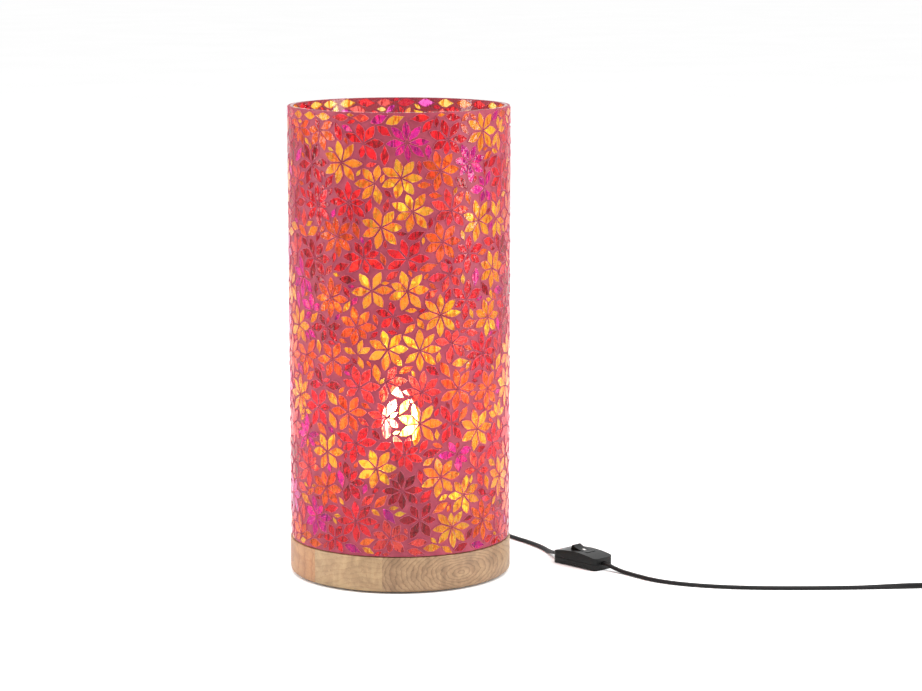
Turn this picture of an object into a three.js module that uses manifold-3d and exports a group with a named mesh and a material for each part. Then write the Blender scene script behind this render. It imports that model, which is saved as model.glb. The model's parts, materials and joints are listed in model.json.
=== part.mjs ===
// Mosaic glass table lamp: an open-topped glass cylinder covered in glass petals, standing in a turned wooden
// base, with a candle bulb in a small lampholder and a flat black lead with an inline rocker switch.
// Millimetres, +Z up. The origin is the middle of the lamp where it stands on the table.
// +Y is the back, where the lead leaves the base.
import * as THREE from 'three';
import Module from 'manifold-3d';
import { mergeVertices } from 'three/addons/utils/BufferGeometryUtils.js';

const wasm = await Module();
wasm.setup();

// Driving dimensions.
const lampRadius = 105; // outside of the wooden base
const lampHeight = 445; // table to the rim of the glass
const baseHeight = 34.5; // table to the top of the wood
const gap = 0.3; // running and glue-line clearance between separate pieces

const felt = { thickness: 1.5, edgeInset: 8, holeRadius: 64 };
const wood = { topEdge: 1.2, bottomEdge: 4, recessRadius: 46, recessDepth: 13 };
const cover = { radius: 58, thickness: 2, screwCircle: 52 };
const glass = { wall: 3, seatDepth: 7, beadThickness: 1.2, grooveClearance: 0.8 };
const mosaic = { thickness: 2.2, proud: 0.5, jointHeight: 0.9 };
const nipple = { radius: 5, bore: 3.5, below: 7.5, above: 13.5, hole: 5.4 };
const nut = { acrossFlats: 14, height: 3 };
const washer = { lowerRadius: 10, topRadius: 12, thickness: 1.2 };
const cord = { width: 5.2, height: 3.2, restHeight: 1.9, exitHeight: 10 };
const boot = { shankRadius: 4.2, shankLength: 15, collarRadius: 6, collar: 2, rootRadius: 4.6, tipRadius: 3.3, taper: 25 };
const holder = { radius: 14.6, wall: 1.8, capHeight: 16, shellHeight: 40, neckRadius: 8, mouthRadius: 9.4, neckHeight: 5 };
const insert = { floor: 8, bottomInset: 3, height: 30, contactRoom: 4, terminalInset: 4.8 };
const thread = { sleeveOuter: 8.6, sleeveInner: 7.3, capRadius: 6.9, ridge: 0.5, pitch: 2.82 };
const bulb = {
  insulator: 4, capLength: 19, bodyLength: 28, bodyTop: 15, envelopeRadius: 17.5, envelopeLength: 52, wall: 1.2,
};
const shell = { length: 56, width: 26, corner: 4.5, endHeight: 12, crown: 3.2, arch: 1.7, seam: 6.4, wall: 1.8 };
const rocker = { pivotHeight: 12.6, tilt: 12, width: 11, endRadius: 11.1, lobe: 4.7, valley: 3.3, pinRadius: 1.2 };
const seesaw = { pivotHeight: 4.4, tilt: 6, length: 17, width: 5, thickness: 0.6, lift: 1 };
const strip = { floor: 3.6, thickness: 0.5, blockHeight: 4, blockLength: 5 };
const coil = { x: 538, y: -55, innerRadius: 24.6, outerRadius: 37.4, height: 11 };
const plug = { x: 576.5, y: 61, width: 35, rear: 15, length: 36, thickness: 13.7, relief: 25 };
const pin = { radius: 2, length: 19, spacing: 18.6 };

// Where the inline switch lies on the table, and the way it points.
const switchPlace = { x: 176, y: 8.4, turn: -47.4 };

// Sides of a round piece, by its size.
const roundSteps = 48;
const middleSteps = 24;
const smallSteps = 16;
const screwSteps = 8;

const finishes = {
  wood: { color: 0xc8a472, roughness: 0.5, metalness: 0 },
  clearGlass: { color: 0xf0c8cc, roughness: 0.05, metalness: 0 },
  mosaicGlass: { color: 0xc83038, roughness: 0.2, metalness: 0 },
  silicone: { color: 0x8a6a5a, roughness: 0.5, metalness: 0 },
  felt: { color: 0x2a2622, roughness: 0.95, metalness: 0 },
  fibreboard: { color: 0x6a4a30, roughness: 0.8, metalness: 0 },
  steel: { color: 0xc0c0c4, roughness: 0.3, metalness: 1 },
  brass: { color: 0xc8a050, roughness: 0.3, metalness: 1 },
  blackPlastic: { color: 0x1c1a19, roughness: 0.35, metalness: 0 },
  whitePlastic: { color: 0xf0eee8, roughness: 0.4, metalness: 0 },
  opal: { color: 0xfff4e0, roughness: 0.3, metalness: 0 },
  ceramic: { color: 0xe8e2d6, roughness: 0.4, metalness: 0 },
  circuitBoard: { color: 0xe4e8e4, roughness: 0.5, metalness: 0 },
  brownWire: { color: 0x6a3a1c, roughness: 0.5, metalness: 0 },
  blueWire: { color: 0x2458a8, roughness: 0.5, metalness: 0 },
};

// Levels and radii that several pieces share.
const woodBottom = felt.thickness;
const recessTop = woodBottom + wood.recessDepth;
const glassOuter = lampRadius - mosaic.proud - mosaic.thickness - gap;
const glassInner = glassOuter - glass.wall;
const grooveFloor = baseHeight - glass.seatDepth - glass.beadThickness - 2 * gap;
const glassBottom = baseHeight - glass.seatDepth;
const nippleBottom = recessTop - nipple.below;
const nippleTop = baseHeight + nipple.above;
const holderBottom = baseHeight + washer.thickness + nut.height + 3 * gap;
const shellBottom = holderBottom + holder.neckHeight + holder.capHeight;
const insertBottom = shellBottom + insert.bottomInset;
const insertTop = insertBottom + insert.height;
const terminalX = holder.radius - holder.wall - insert.terminalInset;
const bulbTip = insertBottom + insert.floor + insert.contactRoom;
const insulatorTop = bulbTip + bulb.insulator;
const capTop = insulatorTop + bulb.capLength;
const bodyTop = capTop + bulb.bodyLength;
const coverTop = woodBottom + cover.thickness;
const leadLevel = shell.seam + 0.1; // where the lead goes into the switch

const lamp = new THREE.Group();
const lampholder = new THREE.Group();
const lightBulb = new THREE.Group();
const inlineSwitch = new THREE.Group();
const lead = new THREE.Group();
lamp.add(lampholder, lightBulb, inlineSwitch, lead);
inlineSwitch.position.set(switchPlace.x, switchPlace.y, 0);
inlineSwitch.rotation.z = THREE.MathUtils.degToRad(switchPlace.turn);

// A closed mesh with shared corners, no slivers and every face pointing out.
function tidied(geometry) {
  const bare = geometry.clone();
  bare.deleteAttribute('normal');
  bare.deleteAttribute('uv');
  const merged = mergeVertices(bare, 1e-4);
  const at = merged.attributes.position;
  const corners = [];
  let volume = 0;
  const [a, b, c] = [new THREE.Vector3(), new THREE.Vector3(), new THREE.Vector3()];
  for (let i = 0; i < merged.index.count; i += 3) {
    const ids = [0, 1, 2].map((k) => merged.index.getX(i + k));
    if (ids[0] === ids[1] || ids[1] === ids[2] || ids[0] === ids[2]) continue;
    a.fromBufferAttribute(at, ids[0]);
    b.fromBufferAttribute(at, ids[1]);
    c.fromBufferAttribute(at, ids[2]);
    volume += a.dot(b.clone().cross(c));
    corners.push(...ids);
  }
  if (volume < 0) corners.reverse();
  merged.setIndex(corners);
  return merged;
}

function toSolid(geometry) {
  const closed = tidied(geometry);
  return new wasm.Manifold(new wasm.Mesh({
    numProp: 3,
    vertProperties: new Float32Array(closed.attributes.position.array),
    triVerts: new Uint32Array(closed.index.array),
  }));
}

function toGeometry(solid) {
  const made = solid.getMesh();
  const geometry = new THREE.BufferGeometry();
  geometry.setAttribute('position', new THREE.BufferAttribute(made.vertProperties, 3));
  geometry.setIndex(new THREE.BufferAttribute(made.triVerts, 1));
  return geometry;
}

function cut(body, ...tools) {
  return toGeometry(tools.reduce((left, tool) => left.subtract(toSolid(tool)), toSolid(body)));
}

function join(body, ...others) {
  return toGeometry(others.reduce((sum, other) => sum.add(toSolid(other)), toSolid(body)));
}

function shared(body, other) {
  return toGeometry(toSolid(body).intersect(toSolid(other)));
}

function place(name, geometry, finish, parent = lamp) {
  const mesh = new THREE.Mesh(tidied(geometry), new THREE.MeshStandardMaterial(finishes[finish]));
  mesh.name = name;
  parent.add(mesh);
  return mesh;
}

// A turned piece from [radius, height] points; one that doesn't reach the axis closes on itself.
function turned(outline, steps = roundSteps) {
  const points = outline.map(([r, z]) => new THREE.Vector2(r, z));
  const onAxis = outline[0][0] === 0 && outline[outline.length - 1][0] === 0;
  if (!onAxis) points.push(points[0].clone());
  return new THREE.LatheGeometry(points, steps).rotateX(Math.PI / 2);
}

function ring(inner, outer, bottom, top, steps = roundSteps) {
  return turned([[inner, bottom], [outer, bottom], [outer, top], [inner, top]], steps);
}

function disc(radius, bottom, top, steps = smallSteps) {
  return turned([[0, bottom], [radius, bottom], [radius, top], [0, top]], steps);
}

function block(x0, x1, y0, y1, z0, z1) {
  return new THREE.BoxGeometry(x1 - x0, y1 - y0, z1 - z0)
    .translate((x0 + x1) / 2, (y0 + y1) / 2, (z0 + z1) / 2);
}

// An outline drawn in X and Z, made as deep along Y as the two given places.
function sideCut(points, y0, y1) {
  const outline = new THREE.Shape(points.map(([x, z]) => new THREE.Vector2(x, z)));
  return new THREE.ExtrudeGeometry(outline, { depth: y1 - y0, bevelEnabled: false })
    .rotateX(Math.PI / 2)
    .translate(0, y1, 0);
}

// A quarter round from one edge to another, for a turned outline.
function roundEdge(r, z, radius, from, to, steps = 4) {
  return Array.from({ length: steps + 1 }, (_, i) => {
    const angle = THREE.MathUtils.degToRad(from + ((to - from) * i) / steps);
    return [r + radius * Math.cos(angle), z + radius * Math.sin(angle)];
  });
}

function flatSection(width, height, sides = 8) {
  // Half the straight part, with a half-round at each end.
  const straight = (width - height) / 2;
  const points = [];
  for (let i = 0; i < sides; i += 1) {
    const angle = ((i + 0.5) / sides) * 2 * Math.PI;
    const side = Math.sin(angle) >= 0 ? 1 : -1;
    points.push(new THREE.Vector2(
      (height / 2) * Math.cos(angle),
      straight * side + (height / 2) * Math.sin(angle),
    ));
  }
  return new THREE.Shape(points);
}

function roundSection(radius, sides = 6) {
  return new THREE.Shape(Array.from({ length: sides }, (_, i) => {
    const angle = (i / sides) * 2 * Math.PI;
    return new THREE.Vector2(radius * Math.cos(angle), radius * Math.sin(angle));
  }));
}

// A route whose section never rolls: its broad side stays level, as a flat lead lies.
class LevelRoute extends THREE.CatmullRomCurve3 {
  computeFrenetFrames(segments) {
    const frames = { tangents: [], normals: [], binormals: [] };
    for (let i = 0; i <= segments; i += 1) {
      const ahead = this.getTangentAt(i / segments);
      const across = new THREE.Vector3(-ahead.y, ahead.x, 0).normalize();
      frames.tangents.push(ahead);
      frames.normals.push(across.clone().cross(ahead));
      frames.binormals.push(across);
    }
    return frames;
  }
}

function along(route, section, steps, Path = THREE.CatmullRomCurve3) {
  const extrudePath = new Path(route.map((point) => new THREE.Vector3(...point)));
  return new THREE.ExtrudeGeometry(section, { steps, extrudePath, bevelEnabled: false });
}

// A screw standing on its point, with a raised head on top.
function screw(headRadius, headHeight, shankRadius, length) {
  const top = length + headHeight;
  return turned([
    [0, 0], [shankRadius, 1], [shankRadius, length], [headRadius, length + headHeight / 2], [headRadius, top], [0, top],
  ], screwSteps);
}

function headDown(geometry) {
  return geometry.rotateX(Math.PI);
}

// The turned base: a groove on top for the glass, a wiring recess below and a hole to the back for the lead.
function makeBase() {
  const grooveInner = glassInner - glass.grooveClearance;
  const grooveOuter = glassOuter + glass.grooveClearance;
  const outline = [
    [0, recessTop],
    [wood.recessRadius, recessTop],
    [wood.recessRadius, coverTop + gap],
    [cover.radius + gap, coverTop + gap],
    [cover.radius + gap, woodBottom],
    ...roundEdge(lampRadius - wood.bottomEdge, woodBottom + wood.bottomEdge, wood.bottomEdge, -90, 0),
    ...roundEdge(lampRadius - wood.topEdge, baseHeight - wood.topEdge, wood.topEdge, 0, 90, 2),
    [grooveOuter, baseHeight],
    [grooveOuter, grooveFloor],
    [grooveInner, grooveFloor],
    [grooveInner, baseHeight],
    [0, baseHeight],
  ];
  const nippleHole = disc(nipple.hole, 0, 2 * baseHeight, smallSteps);
  const intoRecess = 10;
  const leadHole = disc(boot.shankRadius + gap, 0, lampRadius, smallSteps)
    .rotateX(-Math.PI / 2)
    .translate(0, wood.recessRadius - intoRecess, cord.exitHeight);
  place('wooden_base', cut(turned(outline), nippleHole, leadHole), 'wood');

  place('silicone_bead', ring(glassInner, glassOuter, grooveFloor + gap,
    grooveFloor + gap + glass.beadThickness), 'silicone');
  place('glass_cylinder', ring(glassInner, glassOuter, glassBottom, lampHeight), 'clearGlass');
  place('mosaic_skin', ring(glassOuter + gap, glassOuter + gap + mosaic.thickness,
    baseHeight + mosaic.jointHeight, lampHeight), 'mosaicGlass');
  place('felt_ring', ring(felt.holeRadius, lampRadius - felt.edgeInset, 0, woodBottom), 'felt');
}

function makeUnderside() {
  const coverScrew = { head: 3.2, headHeight: 1.4, shank: 1.5, length: 9, hole: 1.8 };
  const screwPlaces = [30, 150, 270].map((degrees) => {
    const angle = THREE.MathUtils.degToRad(degrees);
    return [cover.screwCircle * Math.cos(angle), cover.screwCircle * Math.sin(angle)];
  });
  const holes = screwPlaces.map(([x, y]) => disc(coverScrew.hole, 0, coverTop + 1, screwSteps).translate(x, y, 0));
  const countersinks = screwPlaces.map(([x, y]) => disc(coverScrew.head + gap, 0,
    woodBottom + coverScrew.headHeight, screwSteps).translate(x, y, 0));
  place('base_cover', cut(disc(cover.radius, woodBottom, coverTop, roundSteps), ...holes, ...countersinks), 'fibreboard');
  const base = lamp.getObjectByName('wooden_base');
  const pilots = screwPlaces.map(([x, y]) => disc(coverScrew.shank + gap, 0,
    coverTop + coverScrew.length, screwSteps).translate(x, y, 0));
  base.geometry = tidied(cut(base.geometry, ...pilots));
  screwPlaces.forEach(([x, y], i) => {
    const made = headDown(screw(coverScrew.head, coverScrew.headHeight - gap, coverScrew.shank, coverScrew.length));
    made.translate(x, y, woodBottom + coverScrew.length + coverScrew.headHeight - gap);
    place(`cover_screw_${i + 1}`, made, 'steel');
  });
}

function hexNut(bottom) {
  const outer = nut.acrossFlats / 2 / Math.cos(Math.PI / 6);
  const body = new THREE.CylinderGeometry(outer, outer, nut.height, 6).rotateX(Math.PI / 2);
  body.translate(0, 0, bottom + nut.height / 2);
  return cut(body, disc(nipple.radius + gap, bottom - 1, bottom + nut.height + 1));
}

// The threaded tube that holds the lampholder to the base, with its nuts and washers.
function makeNipple() {
  place('threaded_nipple', ring(nipple.bore, nipple.radius, nippleBottom, nippleTop, smallSteps), 'steel');
  const bore = nipple.radius + gap;
  const lowerWasher = recessTop - gap - washer.thickness;
  place('lower_washer', ring(bore, washer.lowerRadius, lowerWasher, lowerWasher + washer.thickness, smallSteps), 'steel');
  place('lower_nut', hexNut(lowerWasher - gap - nut.height), 'brass');
  const topWasher = baseHeight + gap;
  place('top_washer', ring(bore, washer.topRadius, topWasher, topWasher + washer.thickness, smallSteps), 'steel');
  place('top_nut', hexNut(topWasher + washer.thickness + gap), 'brass');
}

// The lead's last stretch inside the base, its clamp, and the two cores that go up the nipple.
function makeWiring() {
  const bootInner = lampRadius + gap - boot.shankLength;
  const clamp = { y: 33, half: 3, reach: 10, thickness: 1.6 };
  const clampBottom = cord.exitHeight - cord.height / 2 - gap - clamp.thickness;
  const bar = block(-clamp.reach, clamp.reach, clamp.y - clamp.half, clamp.y + clamp.half,
    clampBottom, clampBottom + clamp.thickness);
  const clampScrew = { head: 2.6, headHeight: 1.4, shank: 1.2, length: 12, x: 7 };
  const sides = [-clampScrew.x, clampScrew.x];
  const drills = sides.map((x) => disc(clampScrew.shank + gap, 0, recessTop, screwSteps).translate(x, clamp.y, 0));
  place('cord_clamp', cut(bar, ...drills), 'whitePlastic');
  const base = lamp.getObjectByName('wooden_base');
  const pilots = sides.map((x) => disc(clampScrew.shank + gap, recessTop - 1,
    clampBottom - gap + clampScrew.length + 1, screwSteps).translate(x, clamp.y, 0));
  base.geometry = tidied(cut(base.geometry, ...pilots));
  sides.forEach((x, i) => {
    const made = headDown(screw(clampScrew.head, clampScrew.headHeight, clampScrew.shank, clampScrew.length));
    made.translate(x, clamp.y, clampBottom - gap + clampScrew.length);
    place(`clamp_screw_${i + 1}`, made, 'steel');
  });

  const sheathEnd = 20;
  const inner = [[0, bootInner - gap, cord.exitHeight], [0, 60, cord.exitHeight], [0, sheathEnd, cord.exitHeight]];
  place('inner_lead', along(inner, flatSection(cord.width, cord.height), 6, LevelRoute), 'blackPlastic');
  const wire = { radius: 1, aside: 1.35, belowTerminal: 2.6 };
  [['live_wire', -1, 'brownWire'], ['neutral_wire', 1, 'blueWire']].forEach(([name, side, finish]) => {
    const x = side * wire.aside;
    const terminal = insertBottom - gap - wire.belowTerminal;
    const route = [
      [x, sheathEnd - gap, cord.exitHeight],
      [x, sheathEnd - 8, cord.exitHeight - 2.6],
      [x, 5.5, nippleBottom - 2.2],
      [x, 1.2, nippleBottom - 0.4],
      [x, 0, nippleBottom + 4],
      [x, 0, recessTop + 10],
      [x, 0, nippleTop],
      [side * 3.4, 0, nippleTop + 6],
      [side * (terminalX - 0.5), 0, terminal - 3],
      [side * terminalX, 0, terminal],
    ];
    place(name, along(route, roundSection(wire.radius), 24), finish);
  });

  const tip = lampRadius + gap + boot.collar + boot.taper;
  const outline = [
    [0, bootInner], [boot.shankRadius, bootInner], [boot.shankRadius, lampRadius + gap],
    [boot.collarRadius, lampRadius + gap], [boot.collarRadius, lampRadius + gap + boot.collar],
    [boot.rootRadius, lampRadius + gap + boot.collar], [boot.tipRadius, tip], [0, tip],
  ];
  place('cord_boot', turned(outline, smallSteps).rotateX(-Math.PI / 2).translate(0, 0, cord.exitHeight), 'blackPlastic');
}

// The lampholder: a domed cap on the nipple, a plain skirt, and a ceramic insert with its contacts.
function makeHolder() {
  const { radius, wall, neckRadius, neckHeight } = holder;
  const inner = radius - wall;
  const neckTop = holderBottom + neckHeight;
  const bore = nipple.radius + gap;
  const dome = radius - neckRadius;
  const cap = turned([
    [bore, holderBottom],
    [neckRadius, holderBottom],
    ...roundEdge(neckRadius, neckTop + dome, dome, -90, 0, 4),
    [radius, shellBottom - gap],
    [inner, shellBottom - gap],
    ...roundEdge(neckRadius, neckTop + dome, dome - wall, 0, -90, 3),
    [bore, neckTop + wall],
  ], middleSteps);
  const grub = { radius: 1.4, length: 2.6 };
  const grubHole = disc(grub.radius + gap, 0, neckRadius + 2, screwSteps)
    .rotateY(Math.PI / 2)
    .translate(0, 0, holderBottom + neckHeight / 2);
  place('holder_cap', cut(cap, grubHole), 'blackPlastic', lampholder);
  place('grub_screw', disc(grub.radius, 0, grub.length, screwSteps)
    .rotateY(Math.PI / 2)
    .translate(bore, 0, holderBottom + neckHeight / 2), 'steel', lampholder);

  const shellTop = shellBottom + holder.shellHeight;
  place('holder_shell', turned([
    [inner, shellBottom], [radius, shellBottom],
    ...roundEdge(radius - 1, shellTop - 1, 1, 0, 90, 2),
    [holder.mouthRadius, shellTop], [holder.mouthRadius, shellTop - 1.6], [inner, shellTop - 1.6],
  ], middleSteps), 'blackPlastic', lampholder);

  const boreRadius = thread.sleeveOuter + gap;
  const terminal = { head: 2.2, headHeight: 1.4, shank: 1.25, length: 5, hole: 1.6, sunk: 0.4 };
  const terminalPlaces = [-terminalX, terminalX];
  const sockets = terminalPlaces.map((x) => disc(terminal.hole, insertBottom - 1, insertBottom + terminal.length,
    screwSteps).translate(x, 0, 0));
  const body = turned([
    [0, insertBottom], [inner - gap, insertBottom], [inner - gap, insertTop],
    [boreRadius, insertTop], [boreRadius, insertBottom + insert.floor], [0, insertBottom + insert.floor],
  ], smallSteps);
  place('holder_insert', cut(body, ...sockets), 'ceramic', lampholder);
  terminalPlaces.forEach((x, i) => {
    const made = headDown(screw(terminal.head, terminal.headHeight, terminal.shank, terminal.length));
    made.translate(x, 0, insertBottom - gap + terminal.length - terminal.sunk);
    place(`holder_terminal_${i + 1}`, made, 'brass', lampholder);
  });

  // The rolled thread of the metal sleeve, as rings a pitch apart.
  const floor = insertBottom + insert.floor + gap;
  const sleeveTop = insertTop - 0.5;
  const outside = [];
  const inside = [];
  const rings = Math.floor((sleeveTop - floor) / thread.pitch);
  for (let i = 0; i <= rings; i += 1) {
    const z = floor + ((sleeveTop - floor) * i) / rings;
    const swell = (i % 2) * thread.ridge;
    outside.push([thread.sleeveOuter - thread.ridge + swell, z]);
    inside.push([thread.sleeveInner + swell, z]);
  }
  place('screw_sleeve', turned([...outside, ...inside.reverse()], smallSteps), 'brass', lampholder);

  const contactTop = bulbTip - gap;
  place('centre_contact', sideCut([
    [-5, floor], [5, floor], [5, floor + 0.5], [0.5, floor + 0.5], [2.2, contactTop - 0.3], [1.8, contactTop],
    [-2, contactTop], [-2, contactTop - 0.5], [0.8, contactTop - 0.6], [-0.5, floor + 0.5], [-5, floor + 0.5],
  ], -2, 2), 'brass', lampholder);
}

// The candle bulb: opal envelope, white body, screw cap, glass insulator and tip.
function makeBulb() {
  const tip = { radius: 2.4, thickness: 0.8 };
  place('tip_contact', disc(tip.radius, bulbTip, bulbTip + tip.thickness, smallSteps), 'brass', lightBulb);
  const insulatorBottom = bulbTip + tip.thickness + gap;
  place('cap_insulator', turned([
    [0, insulatorBottom], [tip.radius + 0.6, insulatorBottom], [6.1, insulatorTop - gap], [0, insulatorTop - gap],
  ], smallSteps), 'blackPlastic', lightBulb);
  const ridges = [];
  const threadRings = 6;
  const threadTop = insulatorTop + thread.pitch * threadRings * 0.8;
  for (let i = 0; i <= threadRings; i += 1) {
    const z = insulatorTop + ((threadTop - insulatorTop) * i) / threadRings;
    ridges.push([thread.capRadius - ((i + 1) % 2) * thread.ridge, z]);
  }
  const capInner = thread.capRadius - thread.ridge - 0.8;
  place('bulb_cap', turned([
    ...ridges, [thread.capRadius, threadTop + 1], [thread.capRadius, capTop - gap],
    [capInner, capTop - gap], [capInner, insulatorTop],
  ], smallSteps), 'steel', lightBulb);
  const bodyFoot = thread.capRadius + 0.8;
  place('bulb_body', turned([
    [0, capTop], [bodyFoot, capTop], [bodyFoot + 1.2, capTop + 4], [bulb.bodyTop - 1.2, bodyTop - 8],
    [bulb.bodyTop, bodyTop - 3], [bulb.bodyTop, bodyTop], [bulb.bodyTop - bulb.wall, bodyTop],
    [bodyFoot, capTop + 6], [0, capTop + 3],
  ], middleSteps), 'whitePlastic', lightBulb);
  place('led_board', disc(bulb.bodyTop - bulb.wall - gap - 0.6, bodyTop - 1.6, bodyTop - 0.2, smallSteps),
    'circuitBoard', lightBulb);

  // The envelope swells from its neck and draws in to a rounded tip: its radius at shares of its height.
  const foot = bodyTop + gap;
  const profile = [[0, 0.86], [0.13, 0.96], [0.28, 1], [0.46, 0.95], [0.64, 0.77], [0.8, 0.52], [0.92, 0.27], [1, 0]];
  const skin = (inset) => profile.map(([up, share]) => [
    Math.max(bulb.envelopeRadius * share - inset, 0),
    foot + (bulb.envelopeLength - inset) * up,
  ]);
  place('bulb_envelope', turned([...skin(bulb.wall).reverse(), ...skin(0)], middleSteps), 'opal', lightBulb);
}

// The switch's height at a place along its length, as an arc over its ends.
function crownAt(x) {
  return shell.endHeight + shell.crown * (1 - (x / (shell.length / 2)) ** 2);
}

function archAt(x) {
  return shell.arch * (1 - (x / (shell.length / 2)) ** 2);
}

function lengthwise(from, to, height, steps = 8) {
  return Array.from({ length: steps + 1 }, (_, i) => {
    const x = from + ((to - from) * i) / steps;
    return [x, height(x)];
  });
}

function roundedPlan(length, width, corner, bottom, top) {
  const [x, y, r] = [length / 2, width / 2, corner];
  const plan = new THREE.Shape();
  plan.moveTo(-x + r, -y);
  plan.lineTo(x - r, -y);
  plan.absarc(x - r, -y + r, r, -Math.PI / 2, 0);
  plan.lineTo(x, y - r);
  plan.absarc(x - r, y - r, r, 0, Math.PI / 2);
  plan.lineTo(-x + r, y);
  plan.absarc(-x + r, y - r, r, Math.PI / 2, Math.PI);
  plan.lineTo(-x, -y + r);
  plan.absarc(-x + r, -y + r, r, Math.PI, 1.5 * Math.PI);
  return new THREE.ExtrudeGeometry(plan, { depth: top - bottom, bevelEnabled: false, curveSegments: 4 })
    .translate(0, 0, bottom);
}

function makeSwitchShells() {
  const { length, width, corner, wall, seam } = shell;
  const half = length / 2;
  const plan = roundedPlan(length, width, corner, -1, 30);
  const hollow = roundedPlan(length - 2 * wall, width - 2 * wall, corner - wall, -1, 30);
  const far = half + 1;
  const upperOuter = shared(plan, sideCut([[far, seam], ...lengthwise(half, -half, crownAt), [-far, seam]], -width, width));
  const roof = (x) => crownAt(x) - 2;
  const upperInner = shared(hollow, sideCut([[far, seam - 1], ...lengthwise(half, -half, roof), [-far, seam - 1]], -width, width));
  const lowerOuter = shared(plan, sideCut([...lengthwise(-half, half, archAt), [far, seam - gap], [-far, seam - gap]], -width, width));
  const lowerInner = shared(hollow, block(-far, far, -width, width, strip.floor - gap, seam + 1));

  const opening = block(-rocker.endRadius - 0.4, rocker.endRadius + 0.4, -rocker.width / 2 - 0.4,
    rocker.width / 2 + 0.4, seam, 30);
  const port = along([[-far, 0, leadLevel], [0, 0, leadLevel], [far, 0, leadLevel]],
    flatSection(cord.width + 1, cord.height + 1), 2, LevelRoute);
  const cheekInner = rocker.width / 2 + 0.6;
  const cheeks = [-1, 1].map((side) => {
    const [a, b] = [side * cheekInner, side * (cheekInner + 2.4)];
    return block(-3, 3, Math.min(a, b), Math.max(a, b), rocker.pivotHeight - 2.8, roof(3) + 0.5);
  });
  const pinHole = disc(rocker.pinRadius + gap, -width / 2 + wall + 0.2, width / 2 - wall - 0.2, screwSteps)
    .rotateX(-Math.PI / 2)
    .translate(0, 0, rocker.pivotHeight);
  const post = { radius: 3, hole: 1.5, counterbore: 2.4, fromEnd: 6.4, fromSide: 5.8 };
  const postX = half - post.fromEnd;
  const postY = width / 2 - post.fromSide;
  const posts = [-1, 1].map((side) => [side * postX, side * postY]);
  const upperPosts = posts.map(([x, y]) => disc(post.radius, seam, roof(postX) + 0.5, screwSteps).translate(x, y, 0));
  const upperHoles = posts.map(([x, y]) => disc(post.hole, seam - 1, seam + 4, screwSteps).translate(x, y, 0));
  const upper = cut(join(cut(upperOuter, upperInner), ...cheeks, ...upperPosts), opening, port, pinHole, ...upperHoles);
  place('switch_upper_shell', upper, 'blackPlastic', inlineSwitch);

  const headRoom = 2.6;
  const lowerPosts = posts.map(([x, y]) => disc(post.radius, archAt(postX) + 0.2, seam - gap, screwSteps).translate(x, y, 0));
  const lowerHoles = posts.map(([x, y]) => disc(post.hole, -1, seam + 1, screwSteps).translate(x, y, 0));
  const counterbores = posts.map(([x, y]) => disc(post.counterbore, -1, headRoom, screwSteps).translate(x, y, 0));
  const lower = cut(join(cut(lowerOuter, lowerInner), ...lowerPosts), port, ...lowerHoles, ...counterbores);
  place('switch_lower_shell', lower, 'blackPlastic', inlineSwitch);
  const housingScrew = { head: 2.1, headHeight: 1.2, shank: 1.1, length: 6.6 };
  posts.forEach(([x, y], i) => {
    const made = headDown(screw(housingScrew.head, housingScrew.headHeight, housingScrew.shank, housingScrew.length));
    made.translate(x, y, headRoom - gap + housingScrew.length);
    place(`switch_screw_${i + 1}`, made, 'steel', inlineSwitch);
  });
}

// The rocker turns about a level pin across the switch. It is drawn level and about its pin.
function makeRocker() {
  const { endRadius, lobe, valley, width, pinRadius, pivotHeight } = rocker;
  const tilt = THREE.MathUtils.degToRad(rocker.tilt);
  const arc = (from, to) => Array.from({ length: 5 }, (_, i) => {
    const angle = THREE.MathUtils.degToRad(from + ((to - from) * i) / 4);
    return [endRadius * Math.cos(angle), endRadius * Math.sin(angle)];
  });
  const lobeAngle = THREE.MathUtils.radToDeg(Math.asin(lobe / endRadius));
  const legFoot = -5;
  const outline = [
    ...arc(-10, lobeAngle), [endRadius * 0.5, valley + 0.35], [0, valley], [-endRadius * 0.5, valley + 0.35],
    ...arc(180 - lobeAngle, 190), [-6.5, -2.2], [-2.7, -3.2], [-2.4, legFoot], [2.4, legFoot], [2.7, -3.2], [6.5, -2.2],
  ];
  const pins = disc(pinRadius, -width / 2 - 2.6, width / 2 + 2.6, screwSteps).rotateX(-Math.PI / 2);
  const springHole = disc(1.7, legFoot - 1, -0.4, screwSteps);
  const body = cut(join(sideCut(outline, -width / 2, width / 2), pins), springHole);
  const pieces = new THREE.Group();
  pieces.position.set(0, 0, pivotHeight);
  pieces.rotation.y = tilt;
  inlineSwitch.add(pieces);
  place('switch_rocker', body, 'blackPlastic', pieces);
  place('contact_plunger', turned([
    [0, -7.2], [0.8, -7.0], [1.35, -6.3], [1.35, -3.6], [0, -3.6],
  ], screwSteps), 'whitePlastic', pieces);
  const turns = 3;
  const helix = Array.from({ length: turns * 8 + 1 }, (_, i) => {
    const angle = (i / 8) * 2 * Math.PI;
    return [1.05 * Math.cos(angle), 1.05 * Math.sin(angle), -3.15 + (2.1 * i) / (turns * 8)];
  });
  place('plunger_spring', along(helix, roundSection(0.18, 5), 36), 'steel', pieces);
}

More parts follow.
